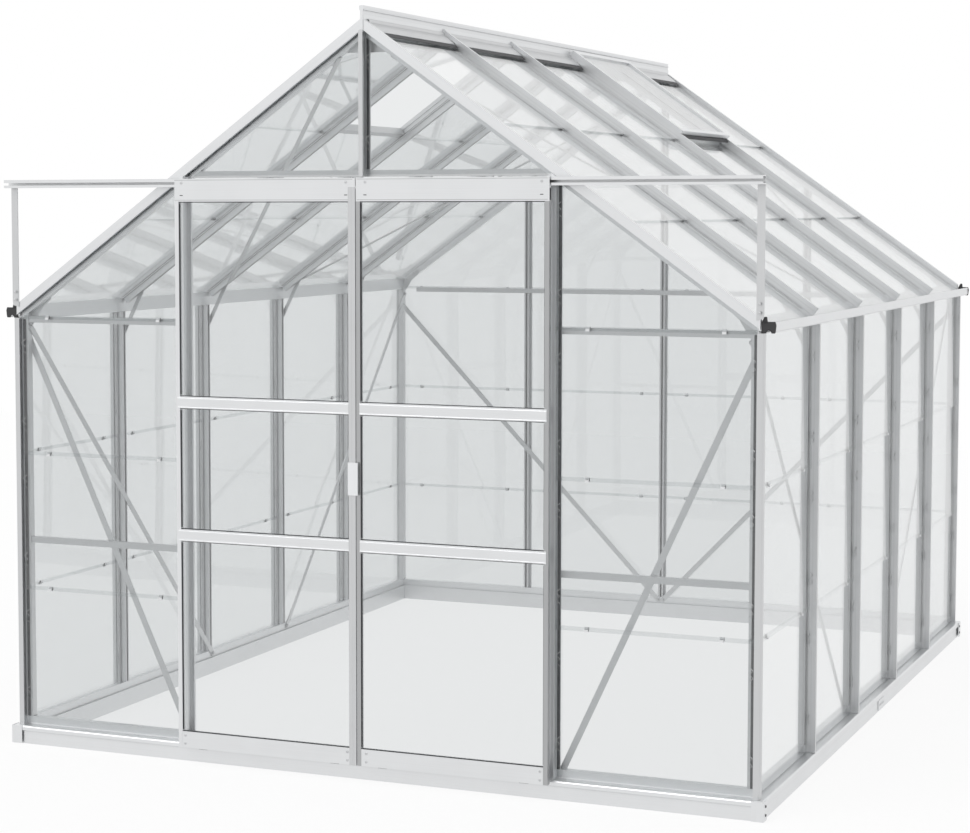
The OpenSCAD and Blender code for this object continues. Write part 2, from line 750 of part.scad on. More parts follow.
// ---- Roof vents ----
// Turns a vent about its hinge line at the ridge, in slope coordinates
module hinged(angle) {
    translate([0, vent_seat, vent_head]) rotate([-angle, 0, 0]) children();
}
module vent_frame(bay_index) {
    u0 = bay_index * bay - vent_side;
    u1 = (bay_index + 1) * bay + vent_side;
    difference() {
        block([u0, 0, 0], [u1, vent_t, vent_len]);
        block([u0 + vent_rail, -1, vent_rail], [u1 - vent_rail, vent_t + 1, vent_len - vent_rail]);
    }
}
module vent_pane(bay_index) {
    block([bay_index * bay - vent_side + vent_rail + seat, 5, vent_rail + seat],
        [(bay_index + 1) * bay + vent_side - vent_rail - seat, 5 + glass_t, vent_len - vent_rail - seat]);
}
module vent_frames() {
    color(silver) placed() {
        on_left_slope() hinged(vent_open) vent_frame(vent_bay_left);
        on_right_slope() hinged(0) vent_frame(vent_bay_right);
    }
}
module vent_glass() {
    color(pane) placed() {
        on_left_slope() hinged(vent_open) vent_pane(vent_bay_left);
        on_right_slope() hinged(0) vent_pane(vent_bay_right);
    }
}
module vent_sill(bay_index) {
    block([bay_index * bay + cap_half + seat, strip_t + seat, vent_sill_foot - vent_sill_w],
        [(bay_index + 1) * bay - cap_half - seat, bar_out - 2, vent_sill_foot]);
}
module vent_sills() {
    color(silver) placed() {
        on_left_slope() vent_sill(vent_bay_left);
        on_right_slope() vent_sill(vent_bay_right);
    }
}
// The open vent's stay stands on the sill; the closed vent's stay lies on it
module vent_stays() {
    arm = 12;
    pin = vent_len - vent_rail / 2;
    head = [-pin * sin(-vent_open) + vent_seat, vent_head + pin * cos(vent_open)];
    foot = [bar_out - 2 + seat + arm / 2, vent_sill_foot - vent_sill_w / 2];
    reach = head - foot;
    span = norm(reach) - arm / 2 - 1;
    color(silver) placed() {
        on_left_slope() translate([(vent_bay_left + 0.5) * bay - brace_t / 2, 0, 0])
            rotate([90, 0, 90]) strap(foot, foot + reach * span / norm(reach), arm, brace_t);
        on_right_slope() translate([(vent_bay_right + 0.5) * bay - arm / 2, bar_out - 2 + seat, 0])
            block([0, 0, vent_sill_foot - 180], [arm, 2, vent_sill_foot]);
    }
}

// ---- Sliding doors: drawn for the right leaf, u from the meeting edge ----
module leaf() {
    translate([leaf_gap / 2, 0, 0]) children();
}
module leaf_stiles() {
    leaf() for (u = [0, leaf_w - stile_w]) translate([u, leaf_front, leaf_foot])
        linear_extrude(height = top_rail_foot - seat - leaf_foot) difference() {
            square([stile_w, leaf_t]);
            translate([wall_t, wall_t]) square([stile_w - 2 * wall_t, leaf_t - 2 * wall_t]);
        }
}
module hollow_rail(z0, z1, front, back) {
    rotate([90, 0, 90]) linear_extrude(height = leaf_w - 2 * stile_w - 2 * seat) difference() {
        translate([front, z0]) square([back - front, z1 - z0]);
        translate([front + wall_t, z0 + wall_t]) square([back - front - 2 * wall_t, z1 - z0 - 2 * wall_t]);
    }
}
module leaf_rails() {
    plate = 2;
    leaf() {
        rotate([90, 0, 90]) linear_extrude(height = leaf_w) {
            difference() {
                translate([leaf_front, top_rail_foot]) square([leaf_t, box_rail_top - top_rail_foot]);
                translate([leaf_front + wall_t, top_rail_foot + wall_t])
                    square([leaf_t - 2 * wall_t, box_rail_top - top_rail_foot - 2 * wall_t]);
            }
            translate([leaf_front, box_rail_top - 1]) square([plate, leaf_top - box_rail_top + 1]);
        }
        translate([stile_w + seat, 0, 0]) {
            hollow_rail(leaf_foot, leaf_foot + foot_rail_h, leaf_front, leaf_back);
            hollow_rail(mid_rail_1, mid_rail_1 + mid_rail_h, leaf_front, leaf_back);
            hollow_rail(mid_rail_2, mid_rail_2 + mid_rail_h, leaf_front, leaf_back);
        }
    }
}
module leaf_glass() {
    feet = [leaf_foot + foot_rail_h, mid_rail_1 + mid_rail_h, mid_rail_2 + mid_rail_h];
    heads = [mid_rail_1, mid_rail_2, top_rail_foot];
    mid = (leaf_front + leaf_back) / 2;
    leaf() for (i = [0 : 2]) block([stile_w + seat, mid - glass_t / 2, feet[i] + seat],
        [leaf_w - stile_w - seat, mid + glass_t / 2, heads[i] - seat]);
}
// Two wheels on pins behind the top rail's plate, and two guide pads under the bottom rail
module leaf_rollers() {
    wheel_w = 6;
    wheel_front = track_front + 4;
    guide = 30;
    leaf() for (u = [wheel_inset, leaf_w - wheel_inset]) {
        translate([u, leaf_front + 2 + seat, wheel_z]) rotate([-90, 0, 0]) {
            cylinder(r = 2, h = wheel_front - leaf_front - 2);
            translate([0, 0, wheel_front - leaf_front - 2 - seat]) cylinder(r = wheel_r, h = wheel_w);
        }
        block([u - guide / 2, leaf_back - 6, leaf_foot - 4], [u + guide / 2, leaf_back, leaf_foot - seat]);
    }
}
module left_door_stiles() {
    color(silver) placed() mirror([1, 0, 0]) leaf_stiles();
}
module right_door_stiles() {
    color(silver) placed() leaf_stiles();
}
module left_door_rails() {
    color(white) placed() mirror([1, 0, 0]) leaf_rails();
}
module right_door_rails() {
    color(white) placed() leaf_rails();
}
module left_door_glass() {
    color(pane) placed() mirror([1, 0, 0]) leaf_glass();
}
module right_door_glass() {
    color(pane) placed() leaf_glass();
}
module left_door_rollers() {
    color(black) placed() mirror([1, 0, 0]) leaf_rollers();
}
module right_door_rollers() {
    color(black) placed() leaf_rollers();
}
// Grip on the left leaf that reaches over the meeting edge
module door_handle() {
    over = 10;
    handle_w = 22;
    color(white) placed() {
        block([-handle_w, leaf_front - seat - 6, handle_z], [-2, leaf_front - seat, handle_z + handle_h]);
        block([-handle_w, leaf_front - seat - handle_out, handle_z],
            [over, leaf_front - seat - 5.5, handle_z + handle_h]);
    }
}

base_front();
base_back();
base_left();
base_right();
base_corners();
corner_posts();
side_wall_bars();
back_wall_bars();
door_jambs();
front_gable_bar();
left_gutter();
right_gutter();
gutter_end_caps();
ridge_beam();
gable_rafters();
roof_bars();
door_header();
door_track();
track_hangers();
front_cross_bars();
back_eave_bar();
wall_braces();
roof_braces();
eave_struts();
gusset_plates();
left_wall_glass();
right_wall_glass();
back_wall_glass();
front_wall_glass();
left_roof_glass();
right_roof_glass();
wall_seals();
roof_seals();
vent_frames();
vent_glass();
vent_sills();
vent_stays();
left_door_stiles();
left_door_rails();
left_door_glass();
left_door_rollers();
right_door_stiles();
right_door_rails();
right_door_glass();
right_door_rollers();
door_handle();
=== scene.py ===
# %% [markdown]
# # A glass greenhouse
# The house is a frame of aluminium bars with single panes clipped between them. Its bars, posts, gutters,
# doors and panes come from the CAD frame at their real size. Here they get their finishes, and the small
# things that hold such a house together: clips, bolts, screws, cover plates and beads.

# %% Load the frame
import math

import bmesh
import bpy
from mathutils import Matrix, Vector


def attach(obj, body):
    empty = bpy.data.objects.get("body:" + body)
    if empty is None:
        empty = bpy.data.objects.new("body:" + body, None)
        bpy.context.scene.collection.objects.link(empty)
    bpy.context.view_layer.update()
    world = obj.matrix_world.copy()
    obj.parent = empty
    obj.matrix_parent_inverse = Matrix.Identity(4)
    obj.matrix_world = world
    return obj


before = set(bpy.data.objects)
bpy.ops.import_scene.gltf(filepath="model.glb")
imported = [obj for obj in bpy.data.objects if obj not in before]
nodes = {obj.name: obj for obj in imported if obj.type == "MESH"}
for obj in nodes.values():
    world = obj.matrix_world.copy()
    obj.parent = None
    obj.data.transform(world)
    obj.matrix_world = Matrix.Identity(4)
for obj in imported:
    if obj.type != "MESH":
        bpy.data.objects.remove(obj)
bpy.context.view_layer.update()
scene = bpy.context.scene

# %% [markdown]
# ## The camera
# A long lens from well back keeps the uprights nearly parallel, the way a catalogue shows a building. The
# camera is turned by three plain rotations: a turn about the vertical, a tilt and a very small roll. Writing
# them as separate matrices keeps each angle readable, which a set of Euler angles would not.

# %% Camera
CAMERA_PLACE = Vector((2.9171, -7.9056, 1.7583))
CAMERA_TURN = 0.4095
CAMERA_TILT = -0.072
CAMERA_ROLL = -0.0009
CAMERA_LENS = 85.34
CAMERA_SHIFT = (0.0786, -0.0435)

camera_data = bpy.data.cameras.new("camera")
camera_data.sensor_width = 36.0
camera_data.lens = CAMERA_LENS
camera_data.shift_x, camera_data.shift_y = CAMERA_SHIFT
camera = bpy.data.objects.new("camera", camera_data)
scene.collection.objects.link(camera)
camera.matrix_world = (
    Matrix.Translation(CAMERA_PLACE)
    @ Matrix.Rotation(CAMERA_TURN, 4, "Z")
    @ Matrix.Rotation(math.pi / 2 + CAMERA_TILT, 4, "X")
    @ Matrix.Rotation(CAMERA_ROLL, 4, "Z")
)
scene.camera = camera
scene.view_settings.view_transform = "Standard"
scene.cycles.transparent_max_bounces = 48
print("camera at", tuple(CAMERA_PLACE), "lens", CAMERA_LENS)


# %% [markdown]
# ## The studio
# The house stands on a plain white floor in a white room. A colour node tree that asks which kind of ray is
# looking lets the room be plain white to the eye, the metal and the glass, while it lights the house gently.

# %% Node helpers
def new_material(name):
    """An empty node material, with its tree and its output node."""
    material = bpy.data.materials.new(name)
    material.use_nodes = True
    tree = material.node_tree
    tree.nodes.clear()
    out = tree.nodes.new("ShaderNodeOutputMaterial")
    return material, tree, out


def add_node(tree, kind, links=None, **values):
    """A node whose named inputs are set from values, or fed from other sockets by links."""
    node = tree.nodes.new("ShaderNode" + kind)
    for key, value in values.items():
        label = key.replace("_", " ")
        if label in node.inputs:
            node.inputs[label].default_value = value
        else:
            setattr(node, key, value)
    for key, socket in (links or {}).items():
        tree.links.new(socket, node.inputs[key])
    return node


def math_node(tree, operation, *operands):
    """A Math node; each operand is a number or a socket."""
    node = tree.nodes.new("ShaderNodeMath")
    node.operation = operation
    for slot, operand in enumerate(operands):
        if isinstance(operand, (int, float)):
            node.inputs[slot].default_value = operand
        else:
            tree.links.new(operand, node.inputs[slot])
    return node.outputs[0]


def seen_ray(tree):
    """1 where the ray comes straight from the camera, a glossy surface or glass."""
    asks = tree.nodes.new("ShaderNodeLightPath").outputs
    glossy_or_camera = math_node(tree, "MAXIMUM", asks["Is Camera Ray"], asks["Is Glossy Ray"])
    return math_node(tree, "MAXIMUM", glossy_or_camera, asks["Is Transmission Ray"])


print("node helpers ready")

# %% World
ROOM_LIGHT = 0.80

world = bpy.data.worlds.new("white_room")
world.use_nodes = True
room = world.node_tree
room.nodes.clear()
room_out = room.nodes.new("ShaderNodeOutputWorld")
shown = add_node(room, "Background", Color=(1, 1, 1, 1), Strength=1.0)
lighting = add_node(room, "Background", Color=(1, 1, 1, 1), Strength=ROOM_LIGHT)
choose = add_node(room, "MixShader", {0: seen_ray(room), 1: lighting.outputs[0], 2: shown.outputs[0]})
room.links.new(choose.outputs[0], room_out.inputs[0])
scene.world = world
print("room lights the house at", ROOM_LIGHT)

# %% Key light
SUN_STRENGTH = 0.9
SUN_WIDTH = math.radians(40)
SUN_LEAN = math.radians(42)
SUN_TURN = math.radians(-28)

sun_data = bpy.data.lights.new("key", "SUN")
sun_data.energy = SUN_STRENGTH
sun_data.angle = SUN_WIDTH
sun = bpy.data.objects.new("key", sun_data)
sun.rotation_euler = (SUN_LEAN, 0, SUN_TURN)
scene.collection.objects.link(sun)
print("soft key light", SUN_STRENGTH)

# %% Floor
FLOOR_REACH = 9.0
FLOOR_DROP = 0.001
FLOOR_SHADE = 0.12
FLOOR_WHITE = 0.92

floor_mesh = bpy.data.meshes.new("floor")
ways = ((-1, -1), (1, -1), (1, 1), (-1, 1))
corners = [(x * FLOOR_REACH, y * FLOOR_REACH, -FLOOR_DROP) for x, y in ways]
floor_mesh.from_pydata(corners, [], [(0, 1, 2, 3)])
floor = bpy.data.objects.new("floor", floor_mesh)
scene.collection.objects.link(floor)
floor_material, tree, out = new_material("floor_white")
lit = add_node(tree, "BsdfDiffuse", Color=(FLOOR_WHITE, FLOOR_WHITE, FLOOR_WHITE, 1))
plain = add_node(tree, "Emission", Color=(1, 1, 1, 1), Strength=1.0)
glow = math_node(tree, "MULTIPLY", seen_ray(tree), 1 - FLOOR_SHADE)
floor_mix = add_node(tree, "MixShader", {0: glow, 1: lit.outputs[0], 2: plain.outputs[0]})
tree.links.new(floor_mix.outputs[0], out.inputs[0])
floor_mesh.materials.append(floor_material)
print("floor half width", FLOOR_REACH)


# %% [markdown]
# ## Aluminium
# The bars are extruded aluminium. Drawing the metal through its die leaves fine lines along each bar, so the
# grain is noise squeezed across the bar and stretched along it. One material is made for each direction that
# bars run in, because the grain follows the bar and not the world. An Ambient Occlusion node paints shade
# into the colour in the inner corners of each part.

# %% Aluminium
GRAIN_FINE = 420.0
GRAIN_LONG = 2.5
CORNER_REACH = 0.012
CORNER_SHADE_DEPTH = 0.25
ROOF_SLOPE = math.radians(35.5)
METAL_ROUGHNESS = 0.36
LINE_TONE = 0.10
CLOUD_TONE = 0.08
LEAST_TONE = 0.90
LINE_ROUGHNESS = 0.14
COOLNESS = 0.012
STRETCHES = {
    "up": (GRAIN_FINE, GRAIN_FINE, GRAIN_LONG),
    "across": (GRAIN_LONG, GRAIN_FINE, GRAIN_FINE),
    "along": (GRAIN_FINE, GRAIN_LONG, GRAIN_FINE),
    "slope": (GRAIN_LONG, GRAIN_FINE, GRAIN_FINE),
}


def bar_coordinates(tree, run):
    """Coordinates stretched along the way that the bars run: up, across, along or slope."""
    place = tree.nodes.new("ShaderNodeTexCoord").outputs["Object"]
    if run == "slope":
        parts = add_node(tree, "SeparateXYZ", {0: place})
        side = math_node(tree, "ABSOLUTE", parts.outputs[0])
        folded = add_node(tree, "CombineXYZ", {0: side, 1: parts.outputs[1], 2: parts.outputs[2]})
        tilted = add_node(tree, "VectorRotate", {"Vector": folded.outputs[0]}, rotation_type="Y_AXIS")
        tilted.inputs["Angle"].default_value = -ROOF_SLOPE
        place = tilted.outputs[0]
    stretch = add_node(tree, "VectorMath", {0: place}, operation="MULTIPLY")
    stretch.inputs[1].default_value = STRETCHES[run]
    return stretch.outputs[0]


def aluminium(name, shade, run):
    """Mill-finish aluminium of a grey level, with die lines along the run and painted shade in its inner
    corners.
    """
    material, tree, out = new_material(name)
    stretched = bar_coordinates(tree, run)
    lines = add_node(tree, "TexNoise", {"Vector": stretched}, Scale=1.0, Detail=3.0, Roughness=0.55)
    place = tree.nodes.new("ShaderNodeTexCoord").outputs["Object"]
    clouds = add_node(tree, "TexNoise", {"Vector": place}, Scale=7.0, Detail=2.0, Roughness=0.5)
    tone = math_node(tree, "MULTIPLY_ADD", lines.outputs[0], LINE_TONE, LEAST_TONE)
    cloudy = math_node(tree, "MULTIPLY_ADD", clouds.outputs[0], CLOUD_TONE, tone)
    # Painted shade: ambient occlusion darkens the base colour in the part's own inner corners.
    corner = add_node(tree, "AmbientOcclusion", Distance=CORNER_REACH, samples=16, only_local=True)
    painted_corner_shade = math_node(tree, "MULTIPLY_ADD", corner.outputs["AO"], CORNER_SHADE_DEPTH, 1 - CORNER_SHADE_DEPTH)
    level = math_node(tree, "MULTIPLY", cloudy, painted_corner_shade)
    colour = add_node(tree, "MixRGB", {"Fac": level}, Color1=(0, 0, 0, 1), Color2=(*shade, 1))
    smoothest = METAL_ROUGHNESS - LINE_ROUGHNESS / 2
    dull = math_node(tree, "MULTIPLY_ADD", lines.outputs[0], LINE_ROUGHNESS, smoothest)
    relief = add_node(tree, "Bump", {"Height": lines.outputs[0]}, Strength=0.05, Distance=0.0004)
    skin = add_node(
        tree,
        "BsdfPrincipled",
        {"Base Color": colour.outputs[0], "Roughness": dull, "Normal": relief.outputs[0]},
        Metallic=1.0,
    )
    tree.links.new(skin.outputs[0], out.inputs[0])
    return material


def grey(level):
    """A grey of that level, a little cool, as bare aluminium is."""
    return (level * (1 - COOLNESS), level, level * (1 + COOLNESS))


# Painted light and shade: pale, mid and deep are lit and shaded copies of the same aluminium.
LIT_AND_SHADED_GREYS = {"pale": 0.76, "mid": 0.62, "deep": 0.44}
METALS = {}
for run in STRETCHES:
    for shade, level in LIT_AND_SHADED_GREYS.items():
        METALS[shade, run] = aluminium(f"aluminium_{shade}_{run}", grey(level), run)
print("aluminium finishes:", len(METALS))


# %% [markdown]
# ## Glass
# Horticultural glass is plain 3 mm float with a faint blue-green body. Seen through, each face dims the
# light a little; seen at a low angle it turns into a mirror. A mix of a tinted Transparent shader and a sharp
# Glossy one, driven by Fresnel, gives both and lets the light through to the inside, which refraction would
# not. Backfacing turns the index over where a ray leaves the pane, so both faces mirror alike. Every pane has
# the same glass.

# %% Glass
PANE_TINT = (0.905, 0.912, 0.914, 1)
GLASS_IOR = 1.62


def clear_glass(name, tint):
    """Thin glass: tinted see-through, with a mirror that grows at low angles."""
    material, tree, out = new_material(name)
    through = add_node(tree, "BsdfTransparent", Color=tint)
    shine = add_node(tree, "BsdfGlossy", Color=(1, 1, 1, 1), Roughness=0.0)
    inside = tree.nodes.new("ShaderNodeNewGeometry").outputs["Backfacing"]
    index = math_node(tree, "MULTIPLY_ADD", inside, 1 / GLASS_IOR - GLASS_IOR, GLASS_IOR)
    rise = add_node(tree, "Fresnel", {"IOR": index})
    layers = {0: rise.outputs[0], 1: through.outputs[0], 2: shine.outputs[0]}
    both = add_node(tree, "MixShader", layers)
    tree.links.new(both.outputs[0], out.inputs[0])
    return material


PANE = clear_glass("pane_glass", PANE_TINT)
print("glass made, index", GLASS_IOR)

# %% [markdown]
# ## Rubber and plastics
# The glazing strips are soft black rubber, the gutter's ends moulded black plastic, the wheels nylon and the
# door handle a pale grey moulding. They are all Principled shaders whose roughness is broken up by noise,
# because an even gloss gives moulded parts away as computer made.


# %% Rubber and plastics
SPECKLE_TONE = 0.16
SPECKLE_ROUGHNESS = 0.2


def moulded(name, colour, rough, grain, depth):
    """A moulded or rubber skin with a fine grain."""
    material, tree, out = new_material(name)
    place = tree.nodes.new("ShaderNodeTexCoord").outputs["Object"]
    speckle = add_node(tree, "TexNoise", {"Vector": place}, Scale=grain, Detail=4.0, Roughness=0.6)
    shade = math_node(tree, "MULTIPLY_ADD", speckle.outputs[0], SPECKLE_TONE, 1 - SPECKLE_TONE / 2)
    tone = add_node(tree, "MixRGB", {"Fac": shade}, Color1=(0, 0, 0, 1), Color2=(*colour, 1))
    smoothest = rough - SPECKLE_ROUGHNESS / 2
    dull = math_node(tree, "MULTIPLY_ADD", speckle.outputs[0], SPECKLE_ROUGHNESS, smoothest)
    relief = add_node(tree, "Bump", {"Height": speckle.outputs[0]}, Strength=0.25, Distance=depth)
    links = {"Base Color": tone.outputs[0], "Roughness": dull, "Normal": relief.outputs[0]}
    skin = add_node(tree, "BsdfPrincipled", links)
    tree.links.new(skin.outputs[0], out.inputs[0])
    return material


RUBBER = moulded("strip_rubber", (0.045, 0.046, 0.05), 0.62, 900.0, 0.0002)
BLACK_PLASTIC = moulded("cap_plastic", (0.028, 0.028, 0.03), 0.45, 1400.0, 0.0001)
NYLON = moulded("wheel_nylon", (0.07, 0.07, 0.075), 0.35, 1100.0, 0.0001)
PALE_PLASTIC = moulded("handle_plastic", (0.78, 0.79, 0.80), 0.40, 1200.0, 0.0001)
print("rubber and plastics made")

# %% [markdown]
# ## Finishes on the frame
# Every part of the frame is given its finish by name. The three greys of aluminium are painted light and
# shade, lit and shaded copies of one metal: the outer faces are painted palest, the bars behind the glass a
# step darker, which is how a matt metal looks when it faces away from the open room, and the right door's
# stiles darkest, as painted shade. The key light is a wide disc, which sharp panes would mirror as a white
# patch, so light linking keeps it off the glass.

# %% Paint the frame
# Each part's grey level here is painted light or shade; the second word is the way its grain runs.
PAINTED_LEVEL_AND_GRAIN = {
    ("pale", "across"): ["base_front", "base_back", "left_door_rails", "right_door_rails", "door_track"],
    ("pale", "up"): ["base_corners", "door_jambs", "left_door_stiles"],
    ("pale", "slope"): ["gable_rafters", "roof_bars", "vent_frames"],
    ("mid", "slope"): ["vent_stays", "roof_braces", "eave_struts"],
    ("pale", "along"): ["base_left", "base_right", "left_gutter", "right_gutter", "ridge_beam"],
    ("mid", "along"): ["vent_sills"],
    ("mid", "up"): ["corner_posts", "side_wall_bars", "back_wall_bars", "gusset_plates", "wall_braces",
                    "front_gable_bar", "track_hangers"],
    ("deep", "up"): ["right_door_stiles"],
    ("mid", "across"): ["front_cross_bars", "back_eave_bar", "door_header"],
}


def finish_node(name, material):
    """Puts one material on every slot of a frame part."""
    finishes = nodes[name].data.materials
    if not finishes:
        finishes.append(material)
    for index in range(len(finishes)):
        finishes[index] = material


for finish, names in PAINTED_LEVEL_AND_GRAIN.items():
    for name in names:
        finish_node(name, METALS[finish])
unlit = bpy.data.collections.new("panes_without_key")
for name in nodes:
    if "glass" in name:
        finish_node(name, PANE)
        unlit.objects.link(nodes[name])
    elif name.endswith("seals"):
        finish_node(name, RUBBER)
    elif name.endswith("rollers"):
        finish_node(name, NYLON)
sun.light_linking.receiver_collection = unlit
for item in unlit.collection_objects:
    item.light_linking.link_state = "EXCLUDE"
finish_node("gutter_end_caps", BLACK_PLASTIC)
finish_node("door_handle", PALE_PLASTIC)
print("finished parts:", len(nodes))

# %% [markdown]
# ## How the small parts are built
# Three little builders make every small part. A prism pushes a drawn outline along a line, which is how a
# rail, a bead or a folded clip is made. A turned part spins a profile round an axis, which suits bolts and
# screws. A wire follows a bent line. Written as functions, they keep each part below down to its own few
# dimensions.

# %% Builders
FRONT_BAY = -1527.5
BAY = 620
BAYS = 5


def at(x, y, z):
    """A place in metres, from millimetres with y counted from the front bay line."""
    return Vector((x, y + FRONT_BAY, z)) / 1000


def prism(mesh, outline, base, u, v, depth, soft=0.0):
    """Pushes an outline of (u, v) millimetres along u x v, and softens its edges if asked."""
    w = u.cross(v).normalized() * depth / 1000
    near = [mesh.verts.new(base + (u * a + v * b) / 1000) for a, b in outline]
    far = [mesh.verts.new(vert.co + w) for vert in near]
    mesh.faces.new(list(reversed(near)))
    mesh.faces.new(far)
    count = len(outline)
    sides = [mesh.faces.new((near[i - 1], near[i], far[i], far[i - 1])) for i in range(count)]
    if soft:
        edges = {edge for face in sides for edge in face.edges}
        bmesh.ops.bevel(
            mesh, geom=list(edges), offset=soft / 1000, segments=2, affect="EDGES", clamp_overlap=True
        )


def turned(mesh, place, out, profile, sides=18):
    """Spins a profile of (radius, height) millimetres round an axis and closes both ends."""
    u = out.orthogonal().normalized()
    v = out.cross(u).normalized()
    turns = [2 * math.pi * i / sides for i in range(sides)]
    rings = []
    for radius, height in profile:
        spokes = [u * math.cos(t) * radius + v * math.sin(t) * radius for t in turns]
        rings.append([mesh.verts.new(place + (spoke + out * height) / 1000) for spoke in spokes])
    for low, high in zip(rings, rings[1:]):
        for i in range(sides):
            mesh.faces.new((low[i - 1], low[i], high[i], high[i - 1]))
    mesh.faces.new(list(reversed(rings[0])))
    mesh.faces.new(rings[-1])


def wire(mesh, points, radius, sides=6):
    """A round wire through a list of places."""
    turns = [2 * math.pi * k / sides for k in range(sides)]
    rings = []
    for i, point in enumerate(points):
        way = (points[min(i + 1, len(points) - 1)] - points[max(i - 1, 0)]).normalized()
        u = way.orthogonal().normalized()
        v = way.cross(u)
        spokes = [(u * math.cos(t) + v * math.sin(t)) * radius / 1000 for t in turns]
        rings.append([mesh.verts.new(point + spoke) for spoke in spokes])
    for low, high in zip(rings, rings[1:]):
        start = min(range(sides), key=lambda k: (high[k].co - low[0].co).length)
        for i in range(sides):
            j, before = (start + i) % sides, (start + i - 1) % sides
            mesh.faces.new((low[i - 1], low[i], high[j], high[before]))
    mesh.faces.new(list(reversed(rings[0])))
    mesh.faces.new(rings[-1])


def keep(name, mesh, material, body="frame", smooth=False):
    """Turns a built mesh into a piece that rides on a body and takes its finish from a slot."""
    bmesh.ops.recalc_face_normals(mesh, faces=mesh.faces)
    data = bpy.data.meshes.new(name)
    mesh.to_mesh(data)
    mesh.free()
    for polygon in data.polygons:
        polygon.use_smooth = smooth
    piece = bpy.data.objects.new(name, data)
    scene.collection.objects.link(piece)
    data.materials.append(material)
    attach(piece, body)
    print(name, "faces:", len(data.polygons))
    return piece


def solids(name):
    """The corners of each separate solid of a frame part."""
    mesh = bmesh.new()
    mesh.from_mesh(nodes[name].data)
    bmesh.ops.remove_doubles(mesh, verts=mesh.verts, dist=1e-6)
    found, seen = [], set()
    for first in mesh.verts:
        if first in seen:
            continue
        group, queue = [], [first]
        seen.add(first)
        while queue:
            vert = queue.pop()
            group.append(vert.co.copy())
            for edge in vert.link_edges:
                other = edge.other_vert(vert)
                if other not in seen:
                    seen.add(other)
                    queue.append(other)
        found.append(group)
    mesh.free()
    return found


X, Y, Z = Vector((1, 0, 0)), Vector((0, 1, 0)), Vector((0, 0, 1))
HEART = Vector((0, 0, 1.2))
print("builders ready")

# %% [markdown]
# ## Clips on the panes
# Each pane laps over the one below and hangs on two thin Z clips, hooked over the lower pane's head and under
# the upper pane's foot. Bent spring wires press the pane's sides against the rubber. Both are placed from the
# panes themselves, so they follow if the frame is made again at another size.

# %% Pane clips
CLIP_WIDTH = 13
CLIP_INSET = 95
ROOF_CLIP_INSET = 30
WIRE_RADIUS = 0.9
GLASS_T = 3
LAP = 12
GAP = 2.5
LAP_SEARCH = 0.03
SHORTEST_SPRUNG = 250
SPRING_PLACES = (0.22, 0.78)
SPRING_BENDS = [(13, 0.9, -22), (0.5, 6, -11), (12, 0.9, 0), (0.5, 6, 11), (13, 0.9, 22)]
INNER = GLASS_T / 2
UNDER = -INNER - GAP - GLASS_T
HOOK = [
    (INNER + 0.2, 6), (INNER + 1.0, 6), (INNER + 1.0, -1.2), (-INNER - 1.2, -1.2), (-INNER - 1.2, LAP + 0.6),
    (UNDER - 0.8, LAP + 0.6), (UNDER - 0.8, LAP - 7), (UNDER, LAP - 7), (UNDER, LAP), (-INNER - 0.4, LAP),
    (-INNER - 0.4, -0.3), (INNER + 0.2, -0.3),
]
EAVE_SHADE_STRIP = [(-1.8, 2), (-11, 2), (-11, 5), (-1.8, 5)]


def pane_sides(corners):
    """The foot's middle, the head's middle, and the across, up and outward directions of a pane."""
    low = sorted(corners, key=lambda p: p.z)
    foot, head = low[:4], low[-4:]
    middle, top = (sum(group, Vector()) / 4 for group in (foot, head))
    spans = sorted((foot[i] - foot[0] for i in (1, 2, 3)), key=lambda span: span.length)
    across = spans[-1]
    out = spans[0].normalized()
    across = (across - out * across.dot(out)).normalized()
    out = out if out.dot(middle - HEART) > 0 else -out
    up = across.cross(out)
    if up.z < 0:
        across, up = -across, -up
    return middle, top, across, up, out


lap_mesh, roof_lap_mesh, spring_mesh, eave_shade_mesh = (bmesh.new() for _ in range(4))
for name in ("left_wall_glass", "right_wall_glass", "back_wall_glass", "front_wall_glass",
             "left_roof_glass", "right_roof_glass"):
    on_roof = "roof" in name
    panes = [(pane_sides(corners), corners) for corners in solids(name)]
    tops = [sides[1] for sides, corners in panes]
    for (foot, top, across, up, out), corners in panes:
        reach = max((corner - foot).dot(across) for corner in corners) * 1000
        if any((other - foot).length < LAP_SEARCH for other in tops):
            inset = ROOF_CLIP_INSET if on_roof else CLIP_INSET
            for side in (-1, 1):
                base = foot + across * (side * (reach - inset) - CLIP_WIDTH / 2) / 1000
                prism(roof_lap_mesh if on_roof else lap_mesh, HOOK, base, out, up, CLIP_WIDTH)
        elif on_roof:
            # Painted shadow: a black rubber strip under the eave pane's foot stands for the shadow line above
            # the gutter.
            prism(eave_shade_mesh, EAVE_SHADE_STRIP, foot - across * reach / 1000, out, up, 2 * reach, 0.5)
        for side in (-1, 1):
            edge = [corner for corner in corners if side * (corner - foot).dot(across) * 1000 > reach - 8]
            if not edge or on_roof:
                continue
            tall = max((corner - foot).dot(up) for corner in edge) * 1000
            if tall < SHORTEST_SPRUNG:
                continue
            for share in SPRING_PLACES:
                wire(spring_mesh, [
                    foot + across * side * (reach - a) / 1000
                    + out * (GLASS_T / 2 + o) / 1000 + up * (tall * share + s) / 1000
                    for a, o, s in SPRING_BENDS
                ], WIRE_RADIUS)
keep("wall_lap_clips", lap_mesh, METALS["pale", "up"])
keep("roof_lap_clips", roof_lap_mesh, METALS["deep", "slope"])
keep("eave_shade_rubbers", eave_shade_mesh, RUBBER)
keep("glass_spring_wires", spring_mesh, METALS["mid", "up"], smooth=True)
